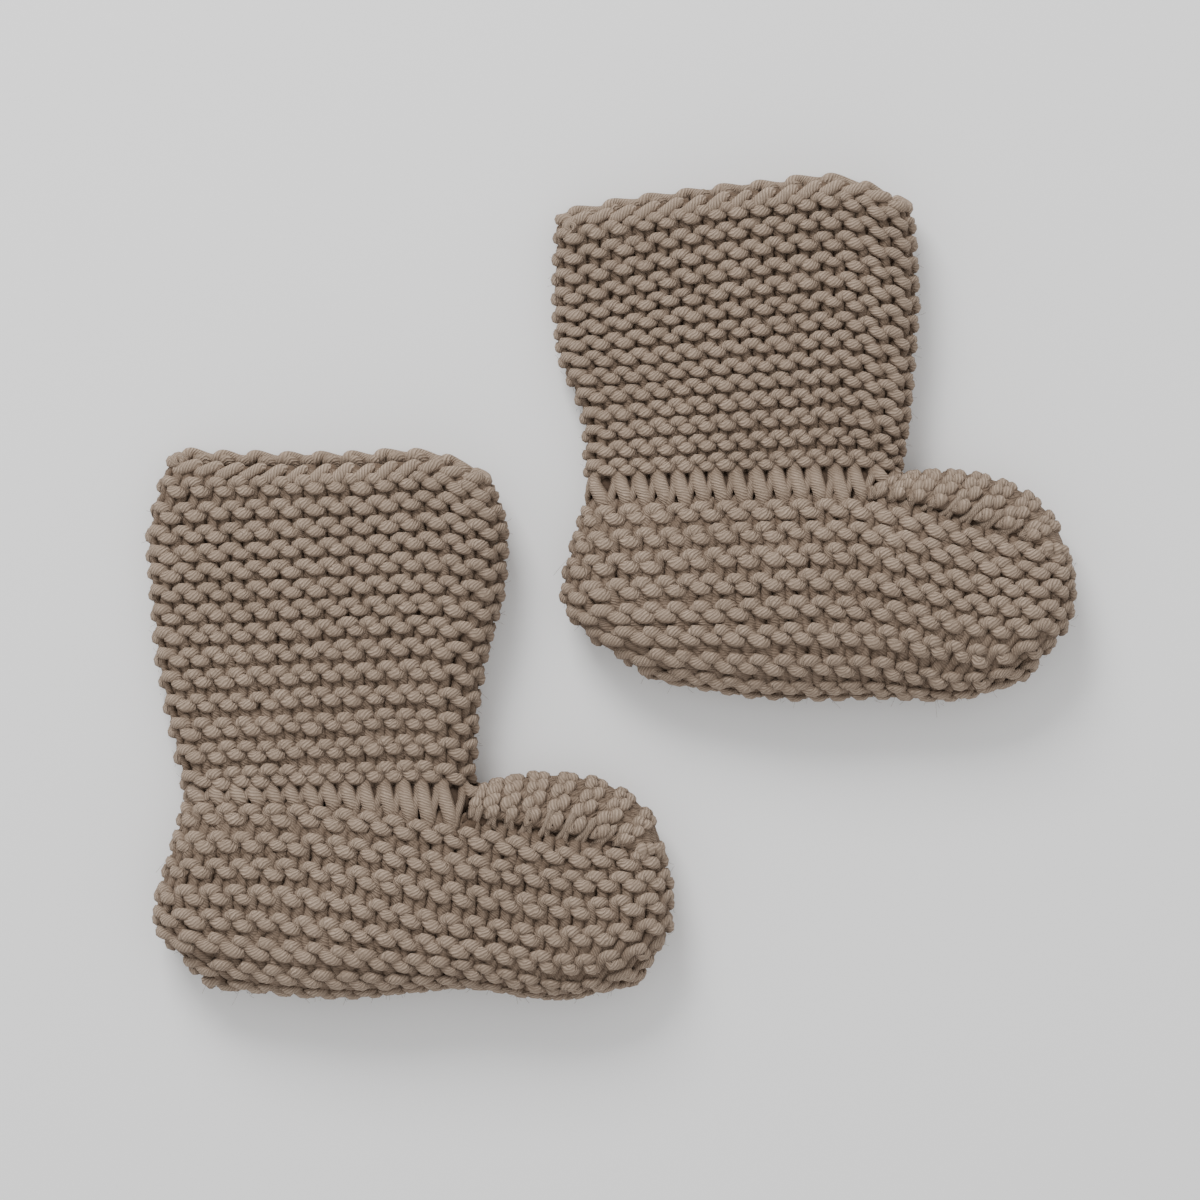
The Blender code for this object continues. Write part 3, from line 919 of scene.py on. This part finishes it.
def band_surface(leg, foot):
    """A band as a function of the place round it and the way down it: straight down from the
    leg's lowest ring to the point of the foot's rim with the same x, and in front of the
    flap's corner to the flap's first row, round half an ellipse by an arc sine of x."""
    top = leg_surface(leg)
    rim = foot_surface(foot)
    flap = instep_surface(foot, 0.0)
    turns = np.linspace(0, 1, 401)
    none = np.zeros_like(turns)
    leg_x = top(turns, none, none)[:, 0]
    rim_x = rim(turns, none, none)[:, 0]
    corner = flap_corner(foot)
    corner_x = np.interp(corner, turns, rim_x)

    def surface(place, way, out):
        turn, side = sides_of(place)
        none = np.zeros_like(turn)
        x = np.interp(turn, turns, leg_x)
        on_foot = np.interp(np.minimum(x, corner_x), rim_x, turns)
        low = rim(np.where(side > 0, on_foot, 2 - on_foot), none, out)
        past = np.clip((x - corner_x) / (leg_x[-1] - corner_x), 0, 1)
        around = np.arcsin(past) / HALF_TURN
        front = flap(np.where(side > 0, around, 1 - around), none, out)
        low = np.where((x > corner_x)[..., None], front, low)
        high = top(place, none, out)
        return high + (low - high) * way[..., None]

    return surface


def plain_row(stitches, random):
    """A row of plain knitting. Its height is (1 - cos) / 2 of the angle, its width the angle's
    share with a bulge by sin of twice the angle, and its depth minus the cosine of twice the
    angle, out on both legs of a loop and in at its head and foot. The first leg is fat and
    the second thin, with a waist in it by a bell curve of the angle."""
    angle = np.arange(stitches * SAMPLES)[None] / SAMPLES * WHOLE_TURN
    place = angle / WHOLE_TURN + 0.3 * np.sin(2 * angle) + 0.4
    place = place + uneven(random, 1, stitches, 0.05)
    height = BAND_LOOP_HEIGHT * (1 - np.cos(angle)) / 2 + uneven(random, 1, stitches, 0.06)
    depth = -BAND_DEPTH * np.cos(2 * angle) + uneven(random, 1, stitches, 0.05)
    within = angle % WHOLE_TURN
    waist = 0.3 * np.exp(-(((within - 1.5 * HALF_TURN) / 0.35) ** 2))
    thick = BAND_YARN * (1 + 0.14 * np.sin(angle) - waist)
    thick = thick + uneven(random, 1, stitches, 0.04)
    return place, height, depth, thick


def band_way(height):
    """The way down the band at a height in rows."""
    return BAND_START - BAND_ROW * height


for leg, foot in zip(LEGS, FEET):
    random = np.random.default_rng(30 + len(foot.name))
    surface = band_surface(leg, foot)
    row = plain_row(leg.stitches, random)
    laid = ring_yarn(surface, row, leg.stitches, GARTER, band_way)
    yarn = as_mesh(foot.name + "_ankle_band_yarn", [laid])
    fit(yarn, taupe_wool, foot.name + "_ankle_band")
    core = backing(
        foot.name + "_ankle_band_core",
        surface,
        np.linspace(0, 2, 80, endpoint=False),
        np.linspace(0.1, 0.9, 5),
        wave=0.5,
        closed=True,
    )
    fit(core, inner_wool, foot.name + "_ankle_band")

# ---------------------------------------------------------------------------
# Floor and light
# A plain pale floor, a broad soft lamp from the upper left and light from all round.
# ---------------------------------------------------------------------------

FLOOR_REACH = 2.0

floor_mesh = bpy.data.meshes.new("floor")
ways = ((-1, -1), (1, -1), (1, 1), (-1, 1))
corners = [(x * FLOOR_REACH, y * FLOOR_REACH, 0.0) for x, y in ways]
floor_mesh.from_pydata(corners, [], [(0, 1, 2, 3)])
floor = bpy.data.objects.new("floor", floor_mesh)
bpy.context.scene.collection.objects.link(floor)
paint = bpy.data.materials.new("pale_floor")
paint.use_nodes = True
pale = paint.node_tree.nodes["Principled BSDF"]
pale.inputs["Base Color"].default_value = (0.95, 0.95, 0.95, 1)
pale.inputs["Roughness"].default_value = 0.9
floor_mesh.materials.append(paint)


def lamp(name, place, size, power):
    """A square area light that faces the pair."""
    light = bpy.data.lights.new(name, "AREA")
    light.size = size
    light.energy = power
    source = bpy.data.objects.new(name, light)
    source.location = place
    source.rotation_euler = (-Vector(place)).to_track_quat("-Z", "Y").to_euler()
    bpy.context.scene.collection.objects.link(source)


lamp("key", (-0.4, 1.0, 0.8), 0.55, 16.0)
world = bpy.data.worlds.new("soft")
world.use_nodes = True
sky = world.node_tree.nodes["Background"]
sky.inputs["Color"].default_value = (1.0, 1.0, 1.0, 1)
sky.inputs["Strength"].default_value = 0.86
bpy.context.scene.world = world
